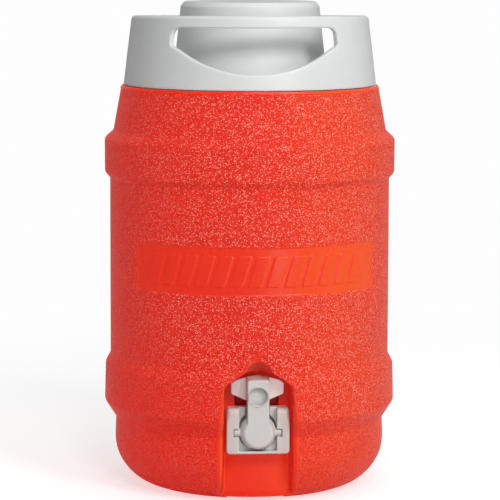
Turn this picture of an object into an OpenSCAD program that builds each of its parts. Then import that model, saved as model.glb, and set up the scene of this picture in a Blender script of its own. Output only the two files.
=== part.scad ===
// Insulated keg-shaped drink dispenser: foam-filled double-wall body with two
// hoop bands, a screw-in lid with a ring handle, and a fold-out ball-valve
// spout in a pocket at the foot. Origin at the centre of the base plane,
// +Z up, the spout faces -Y.

/* [Body] */
// Radius of the plain barrel between the two hoop bands
barrel_r = 102.5; // [102.1:0.1:103.1]
// Radius of the two hoop bands
band_r = 106.9; // [106.3:0.1:107.5]
// Radius of the shell at its top edge, under the lid
top_r = 93.9; // [93.9:0.1:94.5]
// Height of the shell's top edge
shell_h = 292.9; // [290:0.1:294]
// Lower edge of the upper hoop band
band2_z = 225.5; // [216:0.5:228]
// Lower edge of the lower hoop band
band1_z = 48.8; // [47.8:0.2:49.8]
// Moulded wall thickness of the outer shell
wall = 3; // [2.4:0.2:3.4]
// Depth of the smooth badge panel
badge_depth = 1; // [0.6:0.1:1.4]
// Half of the angle the badge panel spans, in degrees
badge_half = 55; // [45:1:60]

/* [Liner] */
// Inside radius of the drink chamber
liner_r = 82; // [81.8:0.1:82.2]
// Wall thickness of the liner
liner_wall = 2.5; // [2:0.1:2.6]
// Height of the chamber floor above the base
floor_z = 31; // [29:1:33]

/* [Lid] */
// Outer radius of the ring handle at its foot
ring_r = 92.2; // [91.8:0.1:92.6]
// Height of the ring handle's top rim
ring_h = 345.5; // [343:0.5:348]
// Wall thickness of the ring handle
ring_wall = 4.5; // [4:0.5:5]
// Height of the top of the centre column
column_h = 354; // [351:0.5:358]
// Radius of the centre column near its top
column_r = 51; // [49:0.5:53]
// Slope of the ring handle's rim, lower at the back, in degrees
rim_tilt = 1.3; // [0:0.1:1.6]
// Half width of the front hand window
window_w = 60; // [52:0.5:62]
// Angle at which the closed lid comes to rest, in degrees
lid_seat = -1.1; // [-4:0.1:4]

/* [Lid thread] */
// Rise of the lid for one full turn
lead = 12; // [12:1:14]
// Turns of thread on each part
turns = 1.25; // [1:0.25:1.25]

/* [Spout] */
// Height of the spout's pivot above the base
pivot_z = 52.5; // [52:0.1:53]
// Distance of the pivot in front of the body axis
pivot_y = 92; // [91.9:0.1:92.1]
// Radius of the valve ball
ball_r = 12.9; // [12.8:0.1:12.9]
// Width of the spout's arm
arm_w = 15.4; // [14:0.2:17]
// Radius of the pouring hole
outlet_r = 6; // [5:0.2:6.4]
// Radial running clearance at the trunnions
run_gap = 0.05; // [0.03:0.01:0.09]

/* [Hidden] */
$fn = 96;
seat_gap = 0.05;        // between seated pieces
foam_gap = 0.15;        // foam to liner and pocket walls

// Foam ports in the base and in the lid's plug
port_x = 45;            // either side of the axis, in the base
port_r = 8;
port_plug_r = port_r - 0.1;

// Tap pocket; every _y value here is a distance in front of the axis
seat_y = 80;            // flat pad the tap bracket bolts against
face_r = 82;            // curved face under the bracket
flat_y = 69.5;          // flat on the liner behind the pocket
flat_half = 31;         // half width of that flat
flat_top = 112;
pocket_w = 23.4;        // half width
pocket_top = 95;
pocket_drop = 5;        // reach of the cutter below the base
clear_y = 125;          // in front of the whole body
slot_y = 74.5;          // bottom of the deeper slot behind the finger tab
slot_w = 15.6;          // half width of the slot
slot_z = 66;            // lower edge of the slot
scoop_r = 10.4;

// Tap
stem_r = 9.9;
washer_y = seat_y + 1.6;                       // front of the outer washer
inner_washer_t = 2;
inner_washer_y = flat_y - liner_wall - seat_gap;
lock_nut_y = inner_washer_y - inner_washer_t - seat_gap;
trunnion_r = 3;
outlet_z = pivot_z + 26.5;
arm_front = 99.8;
arm_back = 86;
arm_top = 91;

// Stack of parts at the mouth, from the liner's rim flange upwards
flange_t = 1.4;
flange_z = shell_h - flange_t;                 // let into the shell's edge
gasket_t = 2.1;
gasket_z = flange_z + flange_t + seat_gap;
base_t = 2;
base_z = gasket_z + gasket_t + seat_gap;       // underside of the lid base flange
moat_t = 2.4;
moat_z = base_z + base_t + seat_gap;           // underside of the lid floor
moat_top = moat_z + moat_t;

// Lid
skirt_z = shell_h + 0.5;                       // lower edge of the lid
skirt_in_r = 87.2;
lid_rim_r = 86.8;                              // gasket and lid base flange
plug_z = 262;                                  // underside of the lid's plug
plug_r = 78.6;
plug_wall = 2.5;
thread_z = 268;                                // start of the lid's thread
ring_round_z = 341.5;                          // start of the rim's rounding
ring_round_r = 4;
ring_foot_z = 302;                             // sets the inner radius at the foot
col_slope = 0.11;
column_foot_r = column_r + col_slope * 45;
window_z = 304.4;                              // lowest point of both windows

// ---- helpers -----------------------------------------------------------

// Points of an arc about (cx, cy)
function arc(cx, cy, radius, from, to, steps = 6) =
    [for (i = [0:steps])
        let (angle = from + (to - from) * i / steps)
        [cx + radius * cos(angle), cy + radius * sin(angle)]];

// Prism of an outline in x and z, from near to far in front of the axis
module prism(near, far) {
    translate([0, -near, 0]) rotate([90, 0, 0]) linear_extrude(far - near) children();
}

// Turns +Z to the back, starting at distance y in front, at pivot height
module backward(y) {
    translate([0, -y, pivot_z]) rotate([-90, 0, 0]) children();
}

// Flat ring; bore_h is the length of the cutter through it
module flat_ring(outer, inner, height, bore_h) {
    difference() {
        cylinder(r = outer, h = height);
        translate([0, 0, -1]) cylinder(r = inner, h = bore_h);
    }
}

module at_ports() {
    for (x = [-port_x, port_x]) translate([x, 0, 0]) children();
}

// Helical ridge from a buried root to its crest, outward or inward
module ridge(root_r, crest_r, start_z, root_w = 4, crest_w = 2.6) {
    steps = ceil(turns * 36);
    // the crest runs out over the first and last three steps
    function fade(i) = min(1, min(i, steps - i) / 3);
    function section(i) =
        let (angle = 360 * turns * i / steps,
             z = start_z + lead * turns * i / steps,
             tip_r = root_r + (crest_r - root_r) * (0.45 + 0.55 * fade(i)))
        [for (corner = [[root_r, -root_w], [tip_r, -crest_w], [tip_r, crest_w], [root_r, root_w]])
            [corner[0] * cos(angle), corner[0] * sin(angle), z + corner[1] / 2]];
    outward = crest_r > root_r;
    sides = [for (i = [0:steps - 1]) for (j = [0:3])
        let (here = 4 * i + j, next = 4 * i + (j + 1) % 4, next_up = next + 4, up = here + 4)
        each (outward ? [[here, next, next_up], [here, next_up, up]]
                      : [[here, next_up, next], [here, up, next_up]])];
    last = 4 * steps;
    caps = outward
        ? [[0, 3, 2], [0, 2, 1], [last, last + 1, last + 2], [last, last + 2, last + 3]]
        : [[0, 2, 3], [0, 1, 2], [last, last + 2, last + 1], [last, last + 3, last + 2]];
    polyhedron(points = [for (i = [0:steps]) each section(i)],
               faces = concat(sides, caps), convexity = 6);
}

// ---- body outlines: [radius, height], base to top ----------------------

// Outside of the shell
function shell_outline() = concat(
    [[0, 2.5], [57, 2.5], [60, 0]],
    arc(66.4, 31.3, 31.3, -90, -42),
    arc(63.9, 34.5, 35.3, -40, 2),
    [[98.8, band1_z], [99.5, band1_z + 1.6], [band_r - 1.5, band1_z + 11],
     [band_r - 0.4, band1_z + 13.1], [band_r, band1_z + 15.6], [band_r - 0.6, band1_z + 36.6]],
    arc(band_r - 4.6, band1_z + 37, 4, 8, 60, 3),
    [[barrel_r + 0.4, band1_z + 46.2], [barrel_r, band1_z + 47.6],
     [barrel_r, band2_z - 0.8], [barrel_r + 0.4, band2_z + 0.4],
     [band_r - 1.2, band2_z + 3.4], [band_r - 0.6, band2_z + 5.2], [band_r - 0.5, band2_z + 26]],
    arc(band_r - 4.5, band2_z + 26.5, 4, 6, 48, 3),
    [[100.9, band2_z + 33.9], [99.8, band2_z + 35.4], [97.9, 271.6], [96.4, 279],
     [95.1, 286.2], [top_r, shell_h], [0, shell_h]]);

// Inside of the shell, open at the top with a ledge for the liner's flange
function cavity_outline() = [
    [0, 2.5 + wall], [77.5, 2.5 + wall], [86 + 3 - wall, 11.2],
    [94.5 - wall, 18], [98 - wall, 26], [98.9 - wall, 36], [98.6 - wall, band1_z],
    [band_r - wall, band1_z + 13.8], [band_r - 0.7 - wall, band1_z + 38.5],
    [barrel_r - wall, band1_z + 48.2], [barrel_r - wall, band2_z + 0.4],
    [band_r - 0.6 - wall, band2_z + 5.4], [band_r - 0.6 - wall, band2_z + 28],
    [97, band2_z + 34.2], [top_r - wall, flange_z], [top_r - 1.35, flange_z],
    [top_r - 1.35, shell_h + 5], [0, shell_h + 5]];

// Outside of the foam, just clear of the shell
function foam_outline() = [
    [0, 2.7 + wall], [77.2, 2.7 + wall], [88.6 - wall, 11.4],
    [94.1 - wall, 18.2], [97.6 - wall, 26.2], [98.5 - wall, 36], [98.2 - wall, band1_z + 0.3],
    [band_r - wall - 0.4, band1_z + 14.1], [band_r - 1.1 - wall, band1_z + 38.2],
    [barrel_r - wall - 0.4, band1_z + 47.8], [barrel_r - wall - 0.4, band2_z + 0.8],
    [band_r - 1 - wall, band2_z + 5.7], [band_r - 1 - wall, band2_z + 27.7],
    [96.6, band2_z + 33.8], [top_r - wall - 0.4, flange_z - 0.4], [0, flange_z - 0.4]];

// ---- tap pocket --------------------------------------------------------

// Outline seen from the front
module pocket_outline() {
    polygon([[-pocket_w, -pocket_drop], [pocket_w, -pocket_drop],
             [pocket_w, 88], [pocket_w - 2.4, 91.5], [13, pocket_top],
             [-13, pocket_top], [-pocket_w + 2.4, 91.5], [-pocket_w, 88]]);
}

// Finger scoop above the spout, running down and inwards
module scoop(radius, extra = 0) {
    translate([0, -104.6, 93.3]) rotate([-124, 0, 0])
        translate([0, 0, -17]) cylinder(r = radius, h = 41 + extra);
}

// Slot behind the finger tab, widened on all sides by margin
module tab_slot(front, margin = 0) {
    translate([-slot_w - margin, -front, slot_z - margin])
        cube([2 * (slot_w + margin), front - slot_y + margin, pocket_top - slot_z + 2 * margin]);
}

// Air in front of the bracket seat and the curved lower face
module pocket_air() {
    difference() {
        prism(seat_y - 4, clear_y) pocket_outline();
        translate([0, 0, -6]) cylinder(r = face_r, h = 6 + pivot_z - 15.5);
        translate([-40, -seat_y, -6]) cube([80, 20, 120]);
    }
    tab_slot(seat_y + 1);
    scoop(scoop_r);
    // the foot ring stops short of the pocket
    translate([-21, -clear_y, -1]) cube([42, clear_y - 56, 4.2]);
}

// Space taken by the pocket and its own walls inside the body
module pocket_block(grow = 0) {
    margin = wall + grow;
    half = pocket_w + margin;
    translate([-half, -clear_y, -pocket_drop])
        cube([2 * half, clear_y - seat_y + margin, pocket_drop + pocket_top + margin]);
    tab_slot(seat_y, margin);
    scoop(scoop_r + margin, margin);
}

// Cutter for the tap stem through a wall at wall_y
module stem_hole(wall_y, clearance = 0.3, length = 20) {
    translate([0, -wall_y + 10, pivot_z]) rotate([90, 0, 0])
        cylinder(r = stem_r + clearance, h = length);
}

// ---- body --------------------------------------------------------------

// Cutter that leaves the flat on the liner, grown into the chamber
module flat_cutter(grow) {
    half = flat_half + grow;
    translate([-half, -110, 0]) cube([2 * half, 110 - flat_y + grow, flat_top + grow]);
}

// Outside of the liner with the flat behind the pocket
module liner_solid(grow = 0) {
    bottom = floor_z - liner_wall - grow;
    difference() {
        translate([0, 0, bottom])
            cylinder(r = liner_r + liner_wall + grow, h = flange_z - bottom + 1);
        flat_cutter(-grow);
    }
}

// Recess for the smooth panel across the front of the barrel
module badge_recess() {
    translate([0, 0, 151.2]) rotate([0, 0, -90 - badge_half])
        rotate_extrude(angle = 2 * badge_half)
            translate([barrel_r - badge_depth + 0.1, 0]) square([6, 33.1]);
}

module outer_shell() color("orangered") {
    difference() {
        rotate_extrude() polygon(shell_outline());
        difference() {
            rotate_extrude() polygon(cavity_outline());
            pocket_block();
        }
        pocket_air();
        stem_hole(seat_y);
        badge_recess();
        at_ports() translate([0, 0, -1]) cylinder(r = port_r, h = 12);
    }
}

module inner_liner() color("whitesmoke") {
    difference() {
        union() {
            liner_solid();
            translate([0, 0, flange_z]) cylinder(r = top_r - 1.45, h = flange_t);
        }
        difference() {
            translate([0, 0, floor_z]) cylinder(r = liner_r, h = 300);
            flat_cutter(liner_wall);
        }
        // trim level with the top of the flange
        translate([0, 0, flange_z + flange_t]) cylinder(r = 100, h = 20);
        stem_hole(flat_y);
    }
    rotate([0, 0, 90]) ridge(liner_r + 1.2, liner_r - 2.8, thread_z + 4.1);
}

module foam_insulation() color("khaki") {
    difference() {
        rotate_extrude() polygon(foam_outline());
        liner_solid(foam_gap);
        pocket_block(foam_gap);
        stem_hole(flat_y, 0.5, 40);
        at_ports() translate([0, 0, -1]) cylinder(r = 9.4, h = 9.4);
    }
}

module foam_port_plugs() color("orangered") {
    at_ports() {
        translate([0, 0, 3.2]) cylinder(r = port_plug_r, h = 5);
        translate([0, 0, 1]) cylinder(r = port_plug_r, h = 2.3);
    }
}

// ---- tap ---------------------------------------------------------------

housing_z = 37.3;       // underside of the bracket's housing

// Rounded rectangle seen from the front
module housing_outline() {
    corner = 2.5;
    side = 22.3 - corner;
    low = housing_z + corner;
    high = 70 - corner;
    polygon(concat(arc(side, low, corner, -90, 0, 4), arc(side, high, corner, 0, 90, 4),
                   arc(-side, high, corner, 90, 180, 4), arc(-side, low, corner, 180, 270, 4)));
}

module valve_ball(radius) {
    translate([0, -pivot_y, pivot_z]) sphere(r = radius);
}

// Crosswise pin on the pivot axis
module pivot_pin(half_length, radius) {
    translate([-half_length, -pivot_y, pivot_z]) rotate([0, 90, 0])
        cylinder(r = radius, h = 2 * half_length);
}

// Rear part of the stem, with eight thread grooves
module threaded_stem() {
    pitch = 1.6;
    root_r = stem_r - 0.7;
    backward(68) rotate_extrude()
        polygon(concat([[0, 0]],
            [for (i = [0:8]) each [[root_r, 0.1 + pitch * i], [stem_r, 0.9 + pitch * i]]],
            [[root_r, 14.5], [0, 14.5]]));
}

module tap_bracket() color("white") {
    bearing_half = 17.2;
    difference() {
        union() {
            difference() {
                prism(seat_y + seat_gap, 96) housing_outline();
                translate([-13.4, -100, housing_z + 2]) cube([26.8, 16, 40]);
            }
            // stem through the wall
            backward(seat_y + 0.5) cylinder(r = stem_r, h = 13);
            threaded_stem();
        }
        // waterway
        backward(90) cylinder(r = 6, h = 40);
        // cup for the ball and its seat ring
        valve_ball(ball_r + 0.25);
        backward(100) cylinder(r = 10.2, h = 19.5);
        // groove for the outer washer
        backward(washer_y + seat_gap) flat_ring(15.6, 11.4, 4, 6);
        // trunnion bearings, open to the front through a narrower mouth
        pivot_pin(bearing_half, trunnion_r + run_gap);
        translate([-bearing_half, -97, pivot_z - 2.8])
            cube([2 * bearing_half, 97 - pivot_y, 5.6]);
    }
}

module tap_outer_washer() color("dimgray")
    backward(washer_y) flat_ring(15.5, 11.5, 1.58, 4);

module tap_inner_washer() color("dimgray")
    backward(inner_washer_y) flat_ring(15, stem_r + 0.1, inner_washer_t, 4);

module tap_lock_nut() color("white")
    backward(lock_nut_y) difference() {
        union() {
            cylinder(r = 15.5, h = 2);
            rotate([0, 0, 30]) cylinder(r = 15.2, h = 8, $fn = 6);
        }
        translate([0, 0, -1]) cylinder(r = stem_r + 0.05, h = 10);
    }

module ball_seat_ring() color("silver")
    difference() {
        backward(85) flat_ring(10.1, 7.5, 4.45, 8);
        valve_ball(ball_r + 0.04);
    }

// Finger tab outline in x and z
module tab_outline() {
    polygon([[-8, 74.5], [8, 74.5], [18.6, 79.2], [18.6, 86.5], [16, 88.4],
             [0, 92.6], [-16, 88.4], [-18.6, 86.5], [-18.6, 79.2]]);
}

// Upright waterway of flattened round section, up the arm and through the ball
module spout_bore() {
    bore_r = 3.75;
    offset_x = 1.75;
    bottom = 30;
    height = outlet_z + 6 - bottom;
    for (x = [-offset_x, offset_x])
        translate([x, -pivot_y, bottom]) cylinder(r = bore_r, h = height);
    translate([-offset_x, -pivot_y - bore_r, bottom])
        cube([2 * offset_x, 2 * bore_r, height]);
}

// Turns +Z to the front at the height of the pouring hole
module outlet_forward(y) {
    translate([0, -y, outlet_z]) rotate([90, 0, 0]) children();
}

module pour_spout() color("white") {
    difference() {
        union() {
            // ball, cut flush with the arm's front
            intersection() {
                valve_ball(ball_r);
                translate([-20, -arm_front, 0]) cube([40, 40, 100]);
            }
            pivot_pin(16.9, trunnion_r);
            translate([-arm_w / 2, -arm_front, pivot_z])
                cube([arm_w, arm_front - arm_back, arm_top - pivot_z]);
            // finger tab behind the arm's head
            prism(83.5, 86.5) tab_outline();
            // lip round the pouring hole
            outlet_forward(arm_front - 1) cylinder(r = 7.2, h = 1.5);
        }
        spout_bore();
        // pouring hole and its flared mouth
        outlet_forward(pivot_y) cylinder(r = outlet_r, h = 20);
        outlet_forward(arm_front - 2.4) cylinder(r1 = outlet_r, r2 = 6.95, h = 3);
    }
}

// ---- lid ---------------------------------------------------------------

// Outer radius of the tapering ring handle at height z
function ring_out(z) = ring_r - (z - 294.8) * 5.4 / 46.2;

// Section of the lid shell: [radius, height], up the outside and back inside
function lid_outline() = concat(
    [[skirt_in_r, skirt_z], [ring_out(skirt_z), skirt_z],
     [ring_out(ring_round_z), ring_round_z]],
    arc(ring_out(ring_round_z) - ring_round_r, ring_round_z, ring_round_r, 8, 90, 4),
    [[ring_out(ring_round_z) - ring_wall, ring_h],
     [ring_out(ring_foot_z) - ring_wall, moat_top + 1.2],
     [ring_out(ring_foot_z) - ring_wall - 1.2, moat_top],
     [column_foot_r + 3, moat_top], [column_r + col_slope * 42, moat_top + 3],
     [column_r - 0.3, column_h - 3.7], [column_r - 3.1, column_h], [0, column_h],
     [0, column_h - 3], [column_r - 4.5, column_h - 3], [column_r - 3.3, column_h - 5],
     [column_foot_r - 3, moat_z], [skirt_in_r, moat_z]]);

// Rise at x of an arc that climbs by rise at x = half
function bow(x, half, rise) =
    let (radius = (half * half + rise * rise) / (2 * rise))
    radius - sqrt(radius * radius - x * x);

// Hand window in x and z: flat top, rounded upper corners, bowed lower edge
module window_outline(half, top, rise) {
    corner = 8;
    lower = [for (i = [-10:10])
        let (x = (half - 5) * i / 10)
        [x, window_z + bow(x, half - 4, rise)]];
    end_z = window_z + rise + 2.2;
    polygon(concat(lower,
        [[half - 1.5, end_z]],
        arc(half - corner, top - corner, corner, 0, 90),
        arc(-half + corner, top - corner, corner, 90, 180),
        [[-half + 1.5, end_z]]));
}

module lid_gasket() color("gainsboro")
    translate([0, 0, gasket_z]) flat_ring(lid_rim_r, 82.6, gasket_t, 5);

module lid_shell() color("lightgray") rotate([0, 0, lid_seat]) {
    difference() {
        rotate_extrude() polygon(lid_outline());
        // front and rear hand windows
        prism(70, 110) window_outline(window_w, 336.8, 18);
        rotate([0, 0, 180]) prism(50, 110) window_outline(69.5, 334, 9);
        // the ring's rim drops slightly towards the back
        difference() {
            translate([0, -90, ring_h]) rotate([-rim_tilt, 0, 0])
                translate([-100, -10, 0]) cube([200, 220, 12]);
            cylinder(r = column_r + 12, h = 400);
        }
    }
}

module lid_base() color("lightgray") rotate([0, 0, lid_seat]) {
    difference() {
        union() {
            translate([0, 0, plug_z]) cylinder(r = plug_r, h = base_z + base_t - plug_z);
            translate([0, 0, base_z]) cylinder(r = lid_rim_r, h = base_t);
        }
        translate([0, 0, plug_z + plug_wall]) cylinder(r = plug_r - plug_wall, h = 60);
        translate([0, 0, plug_z - 1]) cylinder(r = port_r, h = 12);
    }
    // the thread keeps its angle to the body wherever the lid rests
    rotate([0, 0, 90 - lid_seat]) ridge(plug_r - 1.2, plug_r + 2.8, thread_z);
}

module lid_foam() color("khaki") rotate([0, 0, lid_seat]) {
    foam_r = plug_r - plug_wall - 0.2;
    difference() {
        rotate_extrude() polygon([[0, plug_z + 2.7], [foam_r, plug_z + 2.7],
            [foam_r, moat_z - 0.2], [column_foot_r - 3.3, moat_z - 0.2],
            [column_r - 3.7, column_h - 5.2], [column_r - 4.8, column_h - 3.2],
            [0, column_h - 3.2]]);
        translate([0, 0, plug_z - 1]) cylinder(r = 9, h = 8);
    }
}

module lid_port_plug() color("lightgray")
    translate([0, 0, plug_z]) cylinder(r = port_plug_r, h = 5);

outer_shell();
inner_liner();
foam_insulation();
foam_port_plugs();
tap_bracket();
tap_outer_washer();
tap_inner_washer();
tap_lock_nut();
ball_seat_ring();
pour_spout();
lid_gasket();
lid_shell();
lid_base();
lid_foam();
lid_port_plug();
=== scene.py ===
"""Insulated orange barrel with a grey screw lid and a white fold-out spout in a front pocket.

The barrel stands on z = 0 round the Z axis and the spout faces -Y.
Shapes are worked out in millimetres and become metres when a mesh is made.
Materials, stage, lights and camera are in metres.
"""
import bpy, bmesh, math
import numpy as np
from mathutils import Vector, Matrix


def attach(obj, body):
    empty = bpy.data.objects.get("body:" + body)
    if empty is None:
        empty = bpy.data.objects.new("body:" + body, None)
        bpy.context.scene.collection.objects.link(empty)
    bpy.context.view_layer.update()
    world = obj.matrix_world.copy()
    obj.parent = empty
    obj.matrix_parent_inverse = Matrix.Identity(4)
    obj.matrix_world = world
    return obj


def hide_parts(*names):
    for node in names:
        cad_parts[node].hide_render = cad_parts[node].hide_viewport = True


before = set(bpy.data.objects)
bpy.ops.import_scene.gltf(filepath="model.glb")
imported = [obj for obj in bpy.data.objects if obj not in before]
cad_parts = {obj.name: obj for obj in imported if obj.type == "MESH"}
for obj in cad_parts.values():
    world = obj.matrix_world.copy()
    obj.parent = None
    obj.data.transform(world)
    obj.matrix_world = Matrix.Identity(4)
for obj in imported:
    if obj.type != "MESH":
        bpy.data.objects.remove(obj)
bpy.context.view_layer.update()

COARSE = 1.0               # factor on the shell's mesh spacing
MM = 0.001

PIVOT_Y, PIVOT_Z = -92.0, 52.5               # centre of the spout's ball
BARREL_R = 102.5
BADGE_ANGLE = math.radians(55)               # half the badge panel's sweep
BADGE_LOW, BADGE_TOP = 151.2, 184.3
POCKET_R = 82.0                              # back of the pocket near the base

# ------------------------------------------------------------------ outlines and distances


def fade(value, start, end):
    """0 at start to 1 at end, held beyond both."""
    return np.clip((value - start) / (end - start), 0, 1)


def ease(t):
    """Smooth step of t, held to 0..1."""
    t = np.clip(t, 0, 1)
    return t * t * (3 - 2 * t)


def rounded(corners, arc_steps):
    """Points of a closed outline of (x, y, radius) corners; arc_steps go to a quarter turn."""
    out = []
    for i, (x, y, radius) in enumerate(corners):
        here = np.array((x, y), float)
        if radius <= 0:
            out.append(tuple(here))
            continue
        back = np.array(corners[i - 1][:2], float) - here
        ahead = np.array(corners[(i + 1) % len(corners)][:2], float) - here
        back_len, ahead_len = np.linalg.norm(back), np.linalg.norm(ahead)
        back, ahead = back / back_len, ahead / ahead_len
        half = math.acos(float(back @ ahead)) / 2
        reach = min(radius / math.tan(half), 0.49 * back_len, 0.49 * ahead_len)
        radius = reach * math.tan(half)
        bisector = (back + ahead) / np.linalg.norm(back + ahead)
        centre = here + bisector * (radius / math.sin(half))
        start, end = [math.atan2(*(here + way * reach - centre)[::-1]) for way in (back, ahead)]
        sweep = (end - start + math.pi) % (2 * math.pi) - math.pi
        count = max(2, int(arc_steps * abs(sweep) / (math.pi / 2)) + 1)
        for j in range(count + 1):
            angle = start + sweep * j / count
            out.append((centre[0] + radius * math.cos(angle),
                        centre[1] + radius * math.sin(angle)))
    return out


def polygon_distance(x, y, polygon):
    """Signed distance to a closed polygon, negative inside."""
    nearest = np.full(x.shape, 1e18)
    inside = np.zeros(x.shape, bool)
    for i, (ax, ay) in enumerate(polygon):
        bx, by = polygon[(i + 1) % len(polygon)]
        ex, ey = bx - ax, by - ay
        length2 = ex * ex + ey * ey
        if length2 < 1e-14:                  # a repeated point has no edge
            continue
        wx, wy = x - ax, y - ay
        t = np.clip((wx * ex + wy * ey) / length2, 0, 1)
        nearest = np.minimum(nearest, (wx - t * ex) ** 2 + (wy - t * ey) ** 2)
        crossing = ((ay <= y) & (by > y)) | ((by <= y) & (ay > y))
        if ey != 0:
            inside ^= crossing & (x < ax + (y - ay) * ex / ey)
    nearest = np.sqrt(nearest)
    return np.where(inside, -nearest, nearest)


class DistanceTable:
    """Signed distance to a polygon, sampled on a grid and read by bilinear interpolation."""

    def __init__(self, polygon, lo, hi, step):
        self.lo, self.step = np.array(lo, float), step
        self.count = np.ceil((np.array(hi, float) - self.lo) / step).astype(int) + 1
        x, y = np.meshgrid(*[lo[a] + step * np.arange(self.count[a]) for a in (0, 1)],
                           indexing="ij")
        self.values = polygon_distance(x, y, polygon)

    def __call__(self, x, y):
        fx = np.clip((x - self.lo[0]) / self.step, 0, self.count[0] - 1.001)
        fy = np.clip((y - self.lo[1]) / self.step, 0, self.count[1] - 1.001)
        i, j = fx.astype(int), fy.astype(int)
        a, b = fx - i, fy - j
        v = self.values
        return ((v[i, j] * (1 - a) + v[i + 1, j] * a) * (1 - b)
                + (v[i, j + 1] * (1 - a) + v[i + 1, j + 1] * a) * b)


def meet(a, b, radius):
    """Intersection with a rounded outer edge."""
    u, v = np.maximum(radius + a, 0), np.maximum(radius + b, 0)
    return np.minimum(-radius, np.maximum(a, b)) + np.sqrt(u * u + v * v)


def fuse(a, b, radius):
    """Union with a filleted inner edge."""
    u, v = np.maximum(radius - a, 0), np.maximum(radius - b, 0)
    return np.maximum(radius, np.minimum(a, b)) - np.sqrt(u * u + v * v)


def overlap(*parts):
    """Intersection with sharp edges."""
    return np.maximum.reduce(parts)


def between(value, lo, hi):
    """Slab from lo to hi."""
    return np.maximum(value - hi, lo - value)


def round_box(coords, centre, half, radius):
    """Box with rounded edges, in two or three axes."""
    q = [np.abs(c - m) - h + radius for c, m, h in zip(coords, centre, half)]
    outside = np.sqrt(sum(np.maximum(v, 0) ** 2 for v in q))
    return outside + np.minimum(overlap(*q), 0) - radius


# ------------------------------------------------------------------ mesh makers
CORNERS = [(dx, dy, dz) for dx in (0, 1) for dy in (0, 1) for dz in (0, 1)]
EDGES = [(a, b) for i, a in enumerate(CORNERS) for b in CORNERS[i + 1:]
         if sum(abs(p - q) for p, q in zip(a, b)) == 1]


def gradient(field, points, reach):
    slope = np.empty_like(points)
    for axis in range(3):
        d = np.zeros(3)
        d[axis] = reach
        slope[:, axis] = (field(*(points + d).T) - field(*(points - d).T)) / (2 * reach)
    return slope


def surface_net(field, lo, hi, step):
    """Points, quads and normals of the surface field = 0; the field is negative inside."""
    lo, hi = np.array(lo, float), np.array(hi, float)
    n = np.ceil((hi - lo) / step).astype(int) + 1
    axes = [lo[a] + step * np.arange(n[a]) for a in range(3)]
    values = np.empty(n, np.float32)
    for s in range(0, n[0], 12):             # slabs keep the memory small
        values[s:s + 12] = field(*np.meshgrid(axes[0][s:s + 12], axes[1], axes[2],
                                              indexing="ij"))
    values[values == 0] = 1e-6
    solid = values < 0
    count = np.zeros(n - 1, np.uint8)
    for dx, dy, dz in CORNERS:
        count += solid[dx:n[0] - 1 + dx, dy:n[1] - 1 + dy, dz:n[2] - 1 + dz]
    active = (count > 0) & (count < 8)
    cells = np.argwhere(active)
    index = np.full(active.shape, -1, np.int64)
    index[active] = np.arange(len(cells))

    # one point per cell, at the mean of its edge crossings
    total, crossings = np.zeros((len(cells), 3)), np.zeros(len(cells))
    for a, b in EDGES:
        va, vb = [values[tuple((cells + end).T)].astype(float) for end in (a, b)]
        m = (va < 0) != (vb < 0)
        t = va[m] / (va[m] - vb[m])
        total[m] += np.array(a) + t[:, None] * (np.array(b) - np.array(a))
        crossings[m] += 1
    points = lo + step * (cells + total / crossings[:, None])

    # one quad round every grid edge that crosses the surface
    quads = []
    for axis in range(3):
        near = [slice(1, n[a] - 1) for a in range(3)]
        near[axis] = slice(0, n[axis] - 1)
        far = list(near)
        far[axis] = slice(1, n[axis])
        edges = np.argwhere(solid[tuple(near)] != solid[tuple(far)])
        base = edges + 1
        base[:, axis] -= 1
        flip = ~solid[tuple(near)][tuple(edges.T)]
        ring = []
        for d1, d2 in ((-1, -1), (0, -1), (0, 0), (-1, 0)):
            cell = base.copy()
            cell[:, (axis + 1) % 3] += d1
            cell[:, (axis + 2) % 3] += d2
            ring.append(index[tuple(cell.T)])
        quad = np.stack(ring, 1)
        quad[flip] = quad[flip][:, ::-1]
        quads.append(quad)

    for _ in range(3):                       # pull the points onto the surface
        g = gradient(field, points, 0.06)
        pull = np.clip(field(*points.T), -step, step)[:, None]
        points = points - pull * g / np.maximum((g * g).sum(1), 0.25)[:, None]
    g = gradient(field, points, 0.12)
    normals = g / np.maximum(np.linalg.norm(g, axis=1), 1e-9)[:, None]
    return points, np.concatenate(quads), normals


def link_smooth(name, mesh):
    mesh.validate(clean_customdata=False)
    mesh.polygons.foreach_set("use_smooth", [True] * len(mesh.polygons))
    obj = bpy.data.objects.new(name, mesh)
    bpy.context.scene.collection.objects.link(obj)
    return obj


def field_object(name, field, lo, hi, step):
    """Object with the surface of a distance field, shaded by the field's own normals."""
    points, quads, normals = surface_net(field, lo, hi, step)
    mesh = bpy.data.meshes.new(name)
    mesh.vertices.add(len(points))
    mesh.vertices.foreach_set("co", (points * MM).astype(np.float32).ravel())
    mesh.loops.add(quads.size)
    mesh.loops.foreach_set("vertex_index", quads.astype(np.int32).ravel())
    mesh.polygons.add(len(quads))
    mesh.polygons.foreach_set("loop_start", np.arange(0, quads.size, 4, dtype=np.int32))
    mesh.update(calc_edges=True)
    obj = link_smooth(name, mesh)
    mesh.normals_split_custom_set_from_vertices([tuple(n) for n in normals])
    return obj


def face_outwards(bm, sharp_angle=None):
    bmesh.ops.recalc_face_normals(bm, faces=bm.faces)
    for e in bm.edges if sharp_angle else ():
        if len(e.link_faces) == 2 and e.calc_face_angle(0) > math.radians(sharp_angle):
            e.smooth = False


def face_object(name, points, faces, sharp_angle=None):
    """Object from listed points and faces."""
    mesh = bpy.data.meshes.new(name)
    mesh.from_pydata([tuple(p) for p in np.array(points) * MM], [], faces)
    mesh.update()
    obj = link_smooth(name, mesh)
    bm = bmesh.new()
    bm.from_mesh(mesh)
    face_outwards(bm, sharp_angle)
    bm.to_mesh(mesh)
    bm.free()
    return obj


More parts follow.
